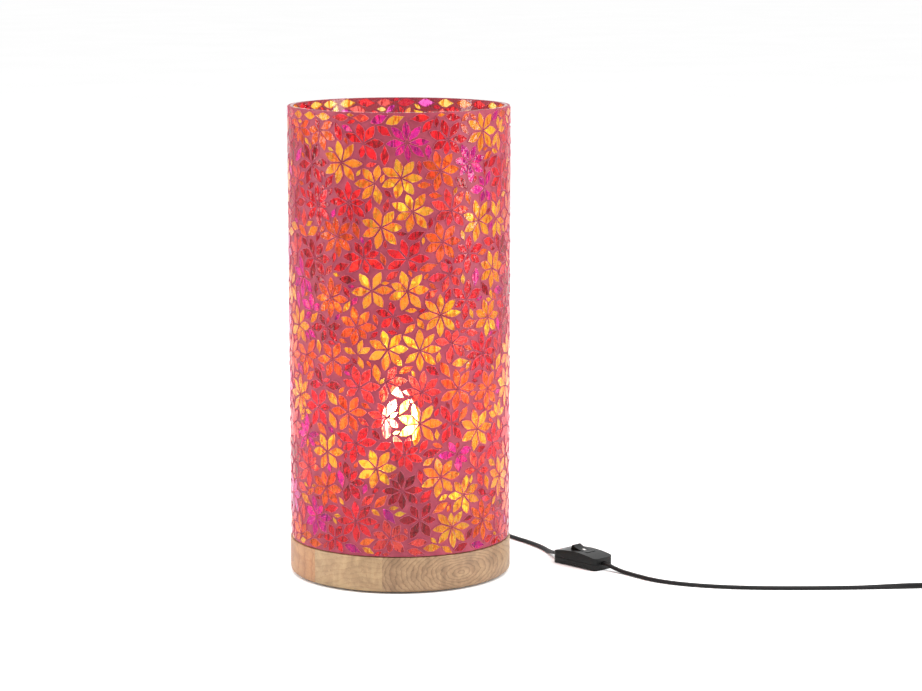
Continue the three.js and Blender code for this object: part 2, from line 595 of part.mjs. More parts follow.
function makeContacts() {
  const { pivotHeight, length, width, thickness, lift } = seesaw;
  const arm = length / 2;
  const rockerTilt = THREE.MathUtils.degToRad(-seesaw.tilt);
  const bar = sideCut([
    [-arm, lift], [-2, 0], [2, 0], [arm, lift], [arm, lift + thickness], [2, thickness], [-2, thickness], [-arm, lift + thickness],
  ], -width / 2, width / 2);
  const moving = place('seesaw_contact', bar, 'brass', inlineSwitch);
  moving.position.set(0, 0, pivotHeight);
  moving.rotation.y = rockerTilt;

  const { floor, thickness: sheet, blockHeight, blockLength } = strip;
  const blockFar = 18;
  const blockNear = blockFar - blockLength;
  const terminal = (x0, x1, side, y, half) => join(
    block(x0, x1, y - half, y + half, floor, floor + sheet),
    block(Math.min(side * blockNear, side * blockFar), Math.max(side * blockNear, side * blockFar),
      y - half, y + half, floor, floor + blockHeight),
  );
  const terminalScrew = { head: 1.7, headHeight: 1, shank: 1, length: 2.2, above: 1.6, hole: 1.3 };
  const drill = (x, y) => disc(terminalScrew.hole, floor + terminalScrew.above - 0.4, floor + 3 * blockHeight,
    screwSteps).translate(x, y, 0);
  const screwX = (blockNear + blockFar) / 2;
  const middle = 2.4;
  place('live_terminal', cut(terminal(-blockFar, -6, -1, 0, middle), drill(-screwX, 0)), 'brass', inlineSwitch);
  place('fulcrum_terminal', cut(terminal(-3, blockFar, 1, 0, middle), drill(screwX, 0)), 'brass', inlineSwitch);
  const slim = 1.9;
  const asideY = shell.width / 2 - shell.wall - slim - 0.7;
  const link = join(
    terminal(-blockFar, blockFar, -1, asideY, slim),
    terminal(0, blockFar, 1, asideY, slim),
  );
  place('neutral_link', cut(link, drill(-screwX, asideY), drill(screwX, asideY)), 'brass', inlineSwitch);
  const screwPlaces = [[-screwX, 0], [screwX, 0], [-screwX, asideY], [screwX, asideY]];
  screwPlaces.forEach(([x, y], i) => {
    const made = screw(terminalScrew.head, terminalScrew.headHeight, terminalScrew.shank, terminalScrew.length)
      .translate(x, y, floor + terminalScrew.above);
    place(`switch_terminal_screw_${i + 1}`, made, 'steel', inlineSwitch);
  });
}

// The free lead: from the base to the switch, from the switch to the coil, and from the coil to the plug.
function makeLead() {
  const section = flatSection(cord.width, cord.height);
  const laid = (route, steps) => along(route, section, steps, LevelRoute);
  const bootTip = lampRadius + 2 * gap + boot.collar + boot.taper;
  const low = cord.restHeight;
  const turn = THREE.MathUtils.degToRad(switchPlace.turn);
  // A place on the switch's own axis, that far out from its end.
  const port = (side, out, z) => {
    const reach = side * (shell.length / 2 + out);
    return [switchPlace.x + reach * Math.cos(turn), switchPlace.y + reach * Math.sin(turn), z];
  };
  const lampSide = [
    [0, bootTip, cord.exitHeight], [0, bootTip + 9, 8.8], [1, bootTip + 18, 6], [5, bootTip + 28.4, 3],
    [13, bootTip + 38.9, low], [26, bootTip + 46.9, low], [42, bootTip + 50.4, low], [59, bootTip + 47.9, low],
    [75, bootTip + 39.4, low], [89, 158.5, low], [102, 140, low],
    [115, 119.2, low], [129, 97.6, low], [139, 78.5, low], [145, 62, 2], [148.6, 48, 3.6],
    port(-1, 7, 6), port(-1, gap, leadLevel),
  ];
  place('lead_lamp_side', laid(lampSide, 44), 'blackPlastic', lead);
  const plugSide = [
    port(1, gap, leadLevel), port(1, 5, 6), [203, -20, 4.2], [210, -26.8, 2.5], [217, -34.5, low], [225, -45, low],
    [236, -58, low], [252, -70.5, low], [274, -81, low], [302, -89, low], [334, -93.5, low], [368, -95, low],
    [402, -95, low], [436, -94, low], [468, -92.6, low], [496, -91.6, low], [520.5, -91, low],
  ];
  place('lead_plug_side', laid(plugSide, 52), 'blackPlastic', lead);

  const coilBottom = 0.2;
  place('lead_coil', ring(coil.innerRadius, coil.outerRadius, coilBottom, coilBottom + coil.height, smallSteps * 2)
    .translate(coil.x, coil.y, 0), 'blackPlastic', lead);
  const tie = { wall: 1, width: 9, turn: 135 };
  const band = cut(
    block(coil.innerRadius - gap - tie.wall, coil.outerRadius + gap + tie.wall, -tie.width / 2, tie.width / 2,
      0, coilBottom + coil.height + gap + tie.wall),
    block(coil.innerRadius - 3 * gap, coil.outerRadius + gap, -tie.width, tie.width,
      coilBottom - 0.1, coilBottom + coil.height + gap),
  );
  band.rotateZ(THREE.MathUtils.degToRad(tie.turn));
  place('cable_tie', band.translate(coil.x, coil.y, 0), 'blackPlastic', lead);

  const reliefStart = plug.y - plug.relief - gap;
  const middle = plug.thickness / 2;
  const tail = [
    [573.6, -38, 7.1], [574.4, -27, 4.8], [575.4, -15, 2.6], [576.1, -2, low], [plug.x, 9, 2.1],
    [plug.x, 20, 3.8], [plug.x, 28.5, 6], [plug.x, reliefStart, middle],
  ];
  place('lead_tail', laid(tail, 20), 'blackPlastic', lead);
  place('plug_relief', turned([
    [0, 0], [3.3, 0], [5.2, plug.relief - gap], [0, plug.relief - gap],
  ], smallSteps).rotateX(-Math.PI / 2).translate(plug.x, plug.y - plug.relief, middle), 'blackPlastic', lead);
  const [w, back] = [plug.width / 2, plug.rear / 2];
  const outline = new THREE.Shape([
    [-back, 0], [back, 0], [w, plug.length * 0.42], [w, plug.length], [-w, plug.length], [-w, plug.length * 0.42],
  ].map(([x, y]) => new THREE.Vector2(x, y)));
  const body = new THREE.ExtrudeGeometry(outline, { depth: plug.thickness, bevelEnabled: false });
  place('plug_body', body.translate(plug.x, plug.y, 0), 'blackPlastic', lead);
  [-1, 1].forEach((side, i) => {
    const made = turned([
      [0, 0], [pin.radius, 0], [pin.radius, pin.length - 1.5], [pin.radius * 0.5, pin.length], [0, pin.length],
    ], screwSteps).rotateX(-Math.PI / 2);
    made.translate(plug.x + (side * pin.spacing) / 2, plug.y + plug.length + gap, middle);
    place(`plug_pin_${i + 1}`, made, 'steel', lead);
  });
}

makeBase();
makeUnderside();
makeNipple();
makeWiring();
makeHolder();
makeBulb();
makeSwitchShells();
makeRocker();
makeContacts();
makeLead();

export default lamp;
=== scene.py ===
import json
import math
import random
import bmesh
import bpy
import numpy as np
from mathutils import Matrix, Vector

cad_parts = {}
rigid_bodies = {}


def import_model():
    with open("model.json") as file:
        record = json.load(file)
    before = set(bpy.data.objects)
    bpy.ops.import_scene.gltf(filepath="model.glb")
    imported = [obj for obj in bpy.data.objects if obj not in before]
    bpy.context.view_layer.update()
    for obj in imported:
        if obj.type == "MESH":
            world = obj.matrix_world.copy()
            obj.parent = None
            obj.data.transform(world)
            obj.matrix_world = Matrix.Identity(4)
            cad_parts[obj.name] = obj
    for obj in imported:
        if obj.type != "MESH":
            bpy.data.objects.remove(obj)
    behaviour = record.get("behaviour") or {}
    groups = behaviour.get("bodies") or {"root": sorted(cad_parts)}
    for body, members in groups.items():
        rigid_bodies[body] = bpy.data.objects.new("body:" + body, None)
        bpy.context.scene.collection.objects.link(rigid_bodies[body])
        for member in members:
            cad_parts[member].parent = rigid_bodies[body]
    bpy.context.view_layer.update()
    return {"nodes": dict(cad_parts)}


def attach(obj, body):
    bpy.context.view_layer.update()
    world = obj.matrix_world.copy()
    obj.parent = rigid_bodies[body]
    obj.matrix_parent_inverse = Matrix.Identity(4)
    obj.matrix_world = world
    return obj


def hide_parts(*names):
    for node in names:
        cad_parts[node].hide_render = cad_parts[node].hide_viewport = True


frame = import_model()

scene = bpy.context.scene
mm = 0.001
random.seed(7)

def addNode(tree, kind, inputs=None, **settings):
    node = tree.nodes.new("ShaderNode" + kind)
    for key, value in settings.items():
        setattr(node, key, value)
    for key, value in (inputs or {}).items():
        if isinstance(value, bpy.types.NodeSocket):
            tree.links.new(value, node.inputs[key])
        else:
            node.inputs[key].default_value = value
    return node

def newMaterial(name):
    material = bpy.data.materials.new(name)
    material.use_nodes = True
    material.node_tree.nodes.clear()
    return material, material.node_tree

def calc(tree, operation, first, second=0.5, third=0.5):
    node = addNode(tree, "Math", {0: first, 1: second, 2: third}, operation=operation)
    return node.outputs[0]

def tone(code):
    # An sRGB colour code as linear red, green, blue and alpha.
    parts = [int(code[i:i + 2], 16) / 255 for i in (0, 2, 4)]
    return [(p / 12.92 if p < 0.04 else ((p + 0.055) / 1.055) ** 2.4) for p in parts] + [1.0]

def ramp(tree, value, stops):
    node = addNode(tree, "ValToRGB", {"Fac": value})
    while len(node.color_ramp.elements) < len(stops):
        node.color_ramp.elements.new(0.5)
    for element, (place, code) in zip(node.color_ramp.elements, stops):
        element.position = place
        element.color = tone(code)
    return node.outputs["Color"]

def spread(tree, value, low, high):
    return addNode(tree, "MapRange", {"Value": value, "To Min": low, "To Max": high}).outputs["Result"]

def between(tree, value, low, high):
    # A straight rise from 0 at low to 1 at high.
    return addNode(tree, "MapRange", {"Value": value, "From Min": low, "From Max": high}).outputs["Result"]

def blended(tree, share, first, second):
    return addNode(tree, "MixShader", {0: share, 1: first, 2: second}).outputs[0]

def tinted(tree, share, first, second, **settings):
    return addNode(tree, "Mix", {0: share, 6: first, 7: second}, data_type="RGBA", **settings).outputs[2]

def noiseAt(tree, size, stretch=(1, 1, 1), detail=3.0, roughness=0.5, distortion=0.0):
    # Noise whose blobs are about size metres across.
    coords = addNode(tree, "TexCoord").outputs["Object"]
    mapped = addNode(tree, "Mapping", {"Vector": coords, "Scale": stretch}).outputs["Vector"]
    return addNode(tree, "TexNoise", {
        "Vector": mapped, "Scale": 1 / size, "Detail": detail, "Roughness": roughness,
        "Distortion": distortion,
    }).outputs["Fac"]

def bumpFrom(tree, height, depth):
    return addNode(tree, "Bump", {"Height": height, "Distance": depth, "Strength": 1.0}).outputs["Normal"]

def close(material, tree, surface):
    addNode(tree, "OutputMaterial", {"Surface": surface})
    return material

def plainFinish(name, low, high, size, rough, metallic=0.0, depth=0.00002, grain=None, extra=None):
    # A moulded or metal finish: two near tones, uneven gloss and a fine grain, in metres.
    material, tree = newMaterial(name)
    cloud = noiseAt(tree, size)
    fine = noiseAt(tree, grain or size / 6, detail=2.0)
    surface = addNode(tree, "BsdfPrincipled", {
        "Base Color": ramp(tree, cloud, [(0.3, low), (0.7, high)]),
        "Roughness": spread(tree, cloud, rough[0], rough[1]),
        "Metallic": metallic,
        "Normal": bumpFrom(tree, fine, depth),
        **(extra or {}),
    })
    return close(material, tree, surface.outputs[0])

def makePiece(name, bm, materials, body="lamp", replaced=(), sharp=35):
    bmesh.ops.triangulate(bm, faces=[f for f in bm.faces if len(f.verts) > 4])
    mesh = bpy.data.meshes.new(name)
    bm.to_mesh(mesh)
    bm.free()
    mesh.shade_smooth()
    mesh.set_sharp_from_angle(angle=math.radians(sharp))
    piece = bpy.data.objects.new(name, mesh)
    scene.collection.objects.link(piece)
    for material in materials:
        mesh.materials.append(material)
    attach(piece, body)
    if replaced:
        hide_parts(*replaced)
    return piece

def arc(r, z, radius, start, end, steps=6):
    # Points of a rounded edge in a turned outline.
    turns = [math.radians(start + (end - start) * i / steps) for i in range(steps + 1)]
    return [(r + radius * math.cos(t), z + radius * math.sin(t)) for t in turns]

def turned(outline, steps=96):
    # A turned piece from (radius, height) points; one that leaves the axis closes on itself.
    bm = bmesh.new()
    corners = [bm.verts.new((r, 0, z)) for r, z in outline]
    edges = [bm.edges.new(pair) for pair in zip(corners, corners[1:])]
    if outline[0][0] > 0 or outline[-1][0] > 0:
        edges.append(bm.edges.new((corners[-1], corners[0])))
    bmesh.ops.spin(bm, geom=corners + edges, cent=(0, 0, 0), axis=(0, 0, 1),
                   angle=2 * math.pi, steps=steps, use_merge=True)
    bmesh.ops.remove_doubles(bm, verts=bm.verts, dist=1e-6)
    bmesh.ops.recalc_face_normals(bm, faces=bm.faces)
    return bm

def moved(bm, matrix):
    bmesh.ops.transform(bm, matrix=matrix, verts=bm.verts)

def lessThan(bm, cutters, solver="EXACT"):
    # The bmesh with the cutters taken away, by a Boolean modifier on a passing object.
    passing = []
    for name, part in (("body", bm), ("cutter", cutters)):
        mesh = bpy.data.meshes.new(name)
        part.to_mesh(mesh)
        part.free()
        passing.append(bpy.data.objects.new(name, mesh))
        scene.collection.objects.link(passing[-1])
    cut = passing[0].modifiers.new("cut", "BOOLEAN")
    cut.operation = "DIFFERENCE"
    cut.solver = solver
    cut.object = passing[1]
    done = passing[0].evaluated_get(bpy.context.evaluated_depsgraph_get())
    left = bmesh.new()
    left.from_mesh(done.to_mesh())
    for thing in passing:
        bpy.data.objects.remove(thing)
    return left

def refined(node, edge, segments=2, sharp=35):
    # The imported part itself, merged, shaded smooth and with its edges broken.
    source = frame["nodes"][node]
    slotName = source.data.materials[0].name.split(".")[0]
    bm = bmesh.new()
    bm.from_mesh(source.data)
    bmesh.ops.remove_doubles(bm, verts=bm.verts, dist=2e-6)
    bmesh.ops.dissolve_limit(bm, angle_limit=math.radians(0.4), verts=bm.verts, edges=bm.edges)
    piece = makePiece(node + "_shape", bm, [finishes[slotName]],
                      body=source.parent.name.split(":")[1], replaced=[node], sharp=sharp)
    if edge:
        broken = piece.modifiers.new("broken edges", "BEVEL")
        broken.width = edge * mm
        broken.segments = segments
        broken.limit_method = "ANGLE"
        broken.angle_limit = math.radians(sharp)
    return piece

def fibrous(name, low, high, sheen, grain):
    # Cloth and pressed board: a dull, fibrous surface.
    return plainFinish(name, low, high, 0.004, (0.85, 0.98), depth=grain, extra={"Sheen Weight": sheen})

finishes = {
    "silicone": plainFinish("clearSilicone", "c8c6c0", "dad8d2", 0.01, (0.3, 0.42)),
    "felt": fibrous("darkFelt", "1c1c1e", "323236", 0.4, 0.0003),
    "hardboard": fibrous("pressedBoard", "543820", "6e4c2e", 0.05, 0.0001),
    "zinc_steel": plainFinish("zincSteel", "8e9094", "b2b4b6", 0.006, (0.22, 0.4), metallic=1.0),
    "brass": plainFinish("rolledBrass", "b08840", "ccaa5c", 0.008, (0.2, 0.36), metallic=1.0),
    "black_plastic": plainFinish("mouldedBlack", "050505", "0b0b0b", 0.008, (0.26, 0.38), depth=0.00003,
                                 extra={"Specular IOR Level": 0.22}),
    "black_lead": plainFinish("softBlack", "060606", "0e0d0d", 0.01, (0.45, 0.6), depth=0.00004,
                              extra={"Specular IOR Level": 0.25}),
    "white_plastic": plainFinish("mouldedWhite", "e2e1dc", "f2f1ed", 0.012, (0.32, 0.45)),
    "steatite": plainFinish("firedSteatite", "ddd4c2", "ece5d6", 0.005, (0.4, 0.6), depth=0.00005),
    "led_board": plainFinish("ledBoard", "d2d8cc", "eceee6", 0.003, (0.35, 0.5)),
    "brown_core": plainFinish("brownCore", "4a2410", "60341a", 0.006, (0.4, 0.5)),
    "blue_core": plainFinish("blueCore", "14327c", "204696", 0.006, (0.4, 0.5)),
}

view = {"distance": 2.6039, "height": 0.6289, "down": 9.002, "pan": 1.28, "lens": 108.4}
eye = bpy.data.cameras.new("camera")
eye.lens = view["lens"]
eye.sensor_width = 36
eye.clip_end = 200
camera = bpy.data.objects.new("camera", eye)
camera.location = (0, -view["distance"], view["height"])
camera.rotation_euler = [math.radians(a) for a in (90 - view["down"], 0, -view["pan"])]
scene.collection.objects.link(camera)
scene.camera = camera

studio = {
    "floorSize": 160, "floorBlotch": 0.4, "worldStrength": 1.0,
    "softboxes": {
        # its place, what it faces, its width and height, and its power
        "right softbox": ((1.6, -0.5, 0.9), (0, 0, 0.25), 0.5, 1.6, 26),
        "left softbox": ((-1.6, -0.2, 0.9), (0, 0, 0.25), 0.5, 1.6, 18.2),
        "top softbox": ((0, -0.3, 2.4), (0, 0, 0), 2.0, 2.0, 40),
    },
}
floorMaterial, tree = newMaterial("studioFloor")
blotch = noiseAt(tree, studio["floorBlotch"])
close(floorMaterial, tree, addNode(tree, "BsdfPrincipled", {
    "Base Color": ramp(tree, blotch, [(0.3, "fdfdfd"), (0.7, "ffffff")]),
    "Roughness": 0.9, "Specular IOR Level": 0.0,
}).outputs[0])
sheet = bmesh.new()
bmesh.ops.create_grid(sheet, x_segments=1, y_segments=1, size=studio["floorSize"] / 2)
floorMesh = bpy.data.meshes.new("floor")
sheet.to_mesh(floorMesh)
sheet.free()
floorMesh.materials.append(floorMaterial)
floor = bpy.data.objects.new("floor", floorMesh)
scene.collection.objects.link(floor)

world = bpy.data.worlds.new("studio")
scene.world = world
world.use_nodes = True
world.node_tree.nodes["Background"].inputs["Color"].default_value = (1, 1, 1, 1)
world.node_tree.nodes["Background"].inputs["Strength"].default_value = studio["worldStrength"]
scene.view_settings.view_transform = "Standard"
scene.cycles.transparent_max_bounces = 32

def softbox(name, place, aim, width, height, power):
    lamp = bpy.data.lights.new(name, "AREA")
    lamp.shape = "RECTANGLE"
    lamp.size = width
    lamp.size_y = height
    lamp.energy = power
    holder = bpy.data.objects.new(name, lamp)
    holder.location = place
    holder.rotation_euler = (Vector(aim) - Vector(place)).to_track_quat("-Z", "Y").to_euler()
    scene.collection.objects.link(holder)

for name, settings in studio["softboxes"].items():
    softbox(name, *settings)
print("stage: camera, floor and lights")

lead = {
    "width": 5.2, "thickness": 3.2, "grooveShare": 0.25, "grooveDepth": 0.35, "low": 1.9,
    "exit": (0, 132.6, 10),
    # the coil: two rows of turns, with a short rise between them, in turns
    "coilX": 538, "coilY": -55, "coilRadius": 35.5, "pitch": 3.4, "turns": 5.25, "turnSteps": 24,
    "lowerRow": 2.85, "upperRow": 8.2, "rise": 0.4,
    # where it turns on edge along X, and where along Y past the coil it turns back flat
    "tipFrom": 420, "tipTo": 505, "flatFrom": -42, "flatTo": 8, "pastCoil": 570, "lastSteps": 40,
}
inlineSwitch = {"x": 176, "y": 8.4, "reach": 28, "turn": math.radians(-47.4)}

def finePath(points, step=3.0):
    # A smooth line through given points, as closely spaced points in millimetres.
    line = [Vector(p) for p in points]
    line = [2 * line[0] - line[1]] + line + [2 * line[-1] - line[-2]]
    fine = []
    for a, b, c, d in zip(line, line[1:], line[2:], line[3:]):
        count = max(2, round((c - b).length / step))
        for i in range(count):
            t = i / count
            fine.append(0.5 * (2 * b + (c - a) * t + (2 * a - 5 * b + 4 * c - d) * t ** 2
                               + (3 * b - 3 * c + d - a) * t ** 3))
    return fine + [line[-2]]

def smoothStep(value, start, end):
    t = min(max((value - start) / (end - start), 0), 1)
    return t * t * (3 - 2 * t)

def flatTube(path, twist, sides=5):
    # A flat two-core section carried along the path; twist turns it on edge, in radians.
    half = lead["thickness"] / 2
    straight = lead["width"] / 2 - half
    lip = lead["grooveShare"] * straight
    section = [(straight + half * math.cos(a), half * math.sin(a))
               for a in (math.pi * (i / sides - 0.5) for i in range(sides + 1))]
    section += [(lip, half), (0, half - lead["grooveDepth"]), (-lip, half)]
    section += [(-x, -y) for x, y in section]
    bm = bmesh.new()
    loops = []
    for i, point in enumerate(path):
        ahead = (path[min(i + 1, len(path) - 1)] - path[max(i - 1, 0)]).normalized()
        across = Vector((-ahead.y, ahead.x, 0)).normalized()
        lifted = across.cross(ahead) * -1
        turn = twist[i]
        side = across * math.cos(turn) + lifted * math.sin(turn)
        upward = lifted * math.cos(turn) - across * math.sin(turn)
        loops.append([bm.verts.new((point + side * x + upward * y) * mm) for x, y in section])
    for one, two in zip(loops, loops[1:]):
        for i in range(len(section)):
            k = (i + 1) % len(section)
            bm.faces.new((one[i], one[k], two[k], two[i]))
    bm.faces.new(loops[0])
    bm.faces.new(loops[-1][::-1])
    bmesh.ops.recalc_face_normals(bm, faces=bm.faces)
    return bm

def alongSwitch(along, z):
    # A place on the switch's own axis, in millimetres from its middle.
    turn = inlineSwitch["turn"]
    return (inlineSwitch["x"] + along * math.cos(turn), inlineSwitch["y"] + along * math.sin(turn), z)

def portAt(side, out, z):
    return alongSwitch(side * (inlineSwitch["reach"] + out), z)

low = lead["low"]
lampSidePoints = [
    lead["exit"], (0, 141.6, 8.8), (1, 150.6, 6), (5, 161, 3), (13, 171.5, low), (26, 179.5, low),
    (42, 183, low), (59, 180.5, low), (75, 172, low), (89, 158.5, low), (102, 140, low), (115, 119.2, low),
    (129, 97.6, low), (139, 78.5, low), (145, 62, 2), (148.6, 48, 3.6), portAt(-1, 7, 6),
    portAt(-1, 0.3, 6.5),
]
plugSidePoints = [
    portAt(1, 0.3, 6.5), portAt(1, 5, 6), (203, -20, 4.2), (210, -26.8, 2.5), (217, -34.5, low),
    (225, -45, low), (236, -58, low), (252, -70.5, low), (274, -81, low), (302, -89, low),
    (334, -93.5, low), (368, -95, low), (402, -95, low), (436, -94, 2.1), (468, -92.6, 2.65),
    (496, -91.2, 2.85), (520.5, -90.6, lead["lowerRow"]),
]
coilPoints = []
halfway = lead["turns"] / 2
for i in range(1, round(lead["turns"] * lead["turnSteps"]) + 1):
    gone = i / lead["turnSteps"]
    inward = min(gone, lead["turns"] - gone)
    risen = smoothStep(gone, halfway - lead["rise"] / 2, halfway + lead["rise"] / 2)
    angle = -math.pi / 2 + 2 * math.pi * gone
    radius = lead["coilRadius"] - lead["pitch"] * inward
    coilPoints.append((lead["coilX"] + radius * math.cos(angle), lead["coilY"] + radius * math.sin(angle),
                       lead["lowerRow"] + (lead["upperRow"] - lead["lowerRow"]) * risen))
tailPoints = [
    (573.6, -44, 7.9), (574.2, -33, 6.3), (574.9, -22, 4.4), (575.6, -11, 3), (576.2, 0, 2.3),
    (576.5, 9, 2.3), (576.5, 20, 3.8), (576.5, 28.5, 6), (576.5, 35.7, 6.85),
]

leadBlack = plainFinish("leadBlack", "060606", "0e0d0d", 0.03, (0.42, 0.55), depth=0.00004, grain=0.0006,
                        extra={"Specular IOR Level": 0.25})

def makeLead(name, path, twists, replaced):
    return makePiece(name, flatTube(path, twists), [leadBlack], replaced=replaced, sharp=50)

lampSidePath = finePath(lampSidePoints)
lampSideLead = makeLead("lead_to_switch", lampSidePath, [0.0] * len(lampSidePath), ["lead_lamp_side"])
plugSidePath = finePath(plugSidePoints + coilPoints + tailPoints)
laidFlat = len(finePath(plugSidePoints))
lastPart = len(plugSidePath) - lead["lastSteps"]
twists = []
for i, point in enumerate(plugSidePath):
    # Flat on the floor, then on edge through the coil, and flat again before the plug.
    tipped = smoothStep(point.x, lead["tipFrom"], lead["tipTo"]) if i < laidFlat else 1.0
    leaving = i > lastPart and point.x > lead["pastCoil"]
    backFlat = smoothStep(point.y, lead["flatFrom"], lead["flatTo"]) if leaving else 0.0
    twists.append(math.pi / 2 * (tipped - backFlat))
plugSideLead = makeLead("lead_to_plug", plugSidePath, twists, ["lead_plug_side", "lead_coil", "lead_tail"])

def lengthOf(path):
    return sum((b - a).length for a, b in zip(path, path[1:])) * mm

# How far edges are rounded off, in millimetres: on small parts, and on each part that the lead carries.
fineEdge = 0.15
onLead = {
    "cord_boot": 0.5, "switch_upper_shell": 1.1, "switch_lower_shell": 0.9, "switch_rocker": 0.5,
    "cable_tie": 0.4, "plug_relief": 0.5, "plug_body": 1.6, "plug_pin_1": 0.6, "plug_pin_2": 0.6,
}
shapes = {node: refined(node, edge=edge, segments=3) for node, edge in onLead.items()}
inSwitch = [
    "contact_plunger", "plunger_spring", "seesaw_contact", "live_terminal", "fulcrum_terminal",
    "neutral_link", "switch_screw_1", "switch_screw_2",
    *(f"switch_terminal_screw_{i}" for i in (1, 2, 3, 4)),
]
inside = [refined(node, edge=fineEdge) for node in inSwitch]

# A painted highlight: a plain pale dash let into the rocker's slope, square to its surface, standing in for
# the light that the glossy slope catches.
highlightDash = {"along": 1.2, "long": 4.6, "wide": 2.6, "high": 0.5, "sunk": 0.2, "edge": 0.15, "castFrom": 40}
markWhite = plainFinish("markWhite", "dcdcd8", "f0f0ec", 0.003, (0.3, 0.4))

def makePaintedHighlight():
    above = Vector(alongSwitch(highlightDash["along"], highlightDash["castFrom"])) * mm
    _, spot, square, _ = shapes["switch_rocker"].ray_cast(above, Vector((0, 0, -1)))
    axis = Vector((math.cos(inlineSwitch["turn"]), math.sin(inlineSwitch["turn"]), 0))
    axis = (axis - square * axis.dot(square)).normalized()
    lying = Matrix((axis, square.cross(axis), square)).transposed().to_4x4()
    size = Matrix.Diagonal((highlightDash["long"] * mm, highlightDash["wide"] * mm, highlightDash["high"] * mm, 1))
    bm = bmesh.new()
    bmesh.ops.create_cube(bm, size=1)
    moved(bm, Matrix.Translation(spot - square * highlightDash["sunk"] * mm) @ lying @ size)
    piece = makePiece("rocker_dash", bm, [markWhite], body="rocker")
    rounded = piece.modifiers.new("broken edges", "BEVEL")
    rounded.width = highlightDash["edge"] * mm
    rounded.segments = 2
    return piece

# The painted highlight rides on the rocker.
shapes["rocker_dash"] = makePaintedHighlight()
print("lead lengths", round(lengthOf(lampSidePath), 4), round(lengthOf(plugSidePath), 4))
print("stage: lead laid")

# The turned base, of three staves with their grain running from front to back.
base = {
    "radius": 105, "bottom": 1.5, "top": 34.5, "topEdge": 1.2, "bottomEdge": 4,
    "recessRadius": 46, "recessTop": 14.5, "coverRadius": 58.3, "coverTop": 3.8,
    "grooveInner": 98.2, "grooveOuter": 102.8, "grooveFloor": 25.7,
    "nippleHole": 5.4, "leadHole": 4.5, "leadHeight": 10, "drillDepth": 80, "drillMiddle": 80,
}
staves = [
    # left edge, ring centre across and up, ring stretch, ring spacing, tones from dark to light
    {"from": -0.2, "centreX": -0.32, "centreZ": 0.02, "stretch": 0.5, "spacing": 0.007,
     "tones": ("744a2a", "956842", "aa8056"), "ringDepth": 0.24},
    {"from": -0.08, "centreX": -0.03, "centreZ": -0.09, "stretch": 1.0, "spacing": 0.005,
     "tones": ("75593a", "917452", "a68a64"), "ringDepth": 0.16},
    {"from": -0.017, "centreX": 0.056, "centreZ": 0.017, "stretch": 1.75, "spacing": 0.0046,
     "tones": ("563e26", "826446", "9b7e5c"), "ringDepth": 0.36},
]

def makeWood():
    material, tree = newMaterial("palmWood")
    place = addNode(tree, "SeparateXYZ", {0: addNode(tree, "TexCoord").outputs["Object"]}).outputs
    wander = noiseAt(tree, 0.03, (1, 0.2, 1.6), detail=4.0, roughness=0.6)
    offset = calc(tree, "MULTIPLY_ADD", wander, 0.016, -0.008)
    blotch = noiseAt(tree, 0.012, (1, 0.25, 0.8), detail=5.0, roughness=0.65, distortion=0.6)
    colour = None
    for stave in staves:
        across = calc(tree, "SUBTRACT", place["X"], stave["centreX"])
        above = calc(tree, "SUBTRACT", place["Z"], stave["centreZ"])
        upward = calc(tree, "MULTIPLY", above, stave["stretch"])
        squared = calc(tree, "MULTIPLY_ADD", across, across, calc(tree, "MULTIPLY", upward, upward))
        reach = calc(tree, "ADD", calc(tree, "SQRT", squared), offset)
        ring = calc(tree, "FRACT", calc(tree, "DIVIDE", reach, stave["spacing"]))
        late = calc(tree, "POWER", ring, 5.0)
        depth = calc(tree, "MULTIPLY", late, stave["ringDepth"])
        level = calc(tree, "SUBTRACT", blotch, depth)
        dark, middle, light = stave["tones"]
        own = ramp(tree, level, [(0.05, dark), (0.42, middle), (0.68, light)])
        if colour is None:
            colour = own
        else:
            beyond = calc(tree, "GREATER_THAN", place["X"], stave["from"])
            colour = tinted(tree, beyond, colour, own)
    # Open pores: short dark strokes along the grain, seen as specks on the ends.
    pores = noiseAt(tree, 0.0009, (1, 0.06, 0.45), detail=1.0)
    pore = between(tree, pores, 0.66, 0.72)
    fleck = noiseAt(tree, 0.004, (1, 0.1, 0.35), detail=2.0)
    shade = calc(tree, "MULTIPLY_ADD", fleck, 0.35, 0.82)
    toned = tinted(tree, 1.0, colour, shade, blend_type="MULTIPLY")
    final = tinted(tree, calc(tree, "MULTIPLY", pore, 0.45), toned, tone("6a4c2e"))
    height = calc(tree, "SUBTRACT", calc(tree, "MULTIPLY", fleck, 0.4), pore)
    surface = addNode(tree, "BsdfPrincipled", {
        "Base Color": final, "Roughness": spread(tree, blotch, 0.42, 0.6),
        "Normal": bumpFrom(tree, height, 0.00012), "Coat Weight": 0.12, "Coat Roughness": 0.35,
    })
    return close(material, tree, surface.outputs[0])

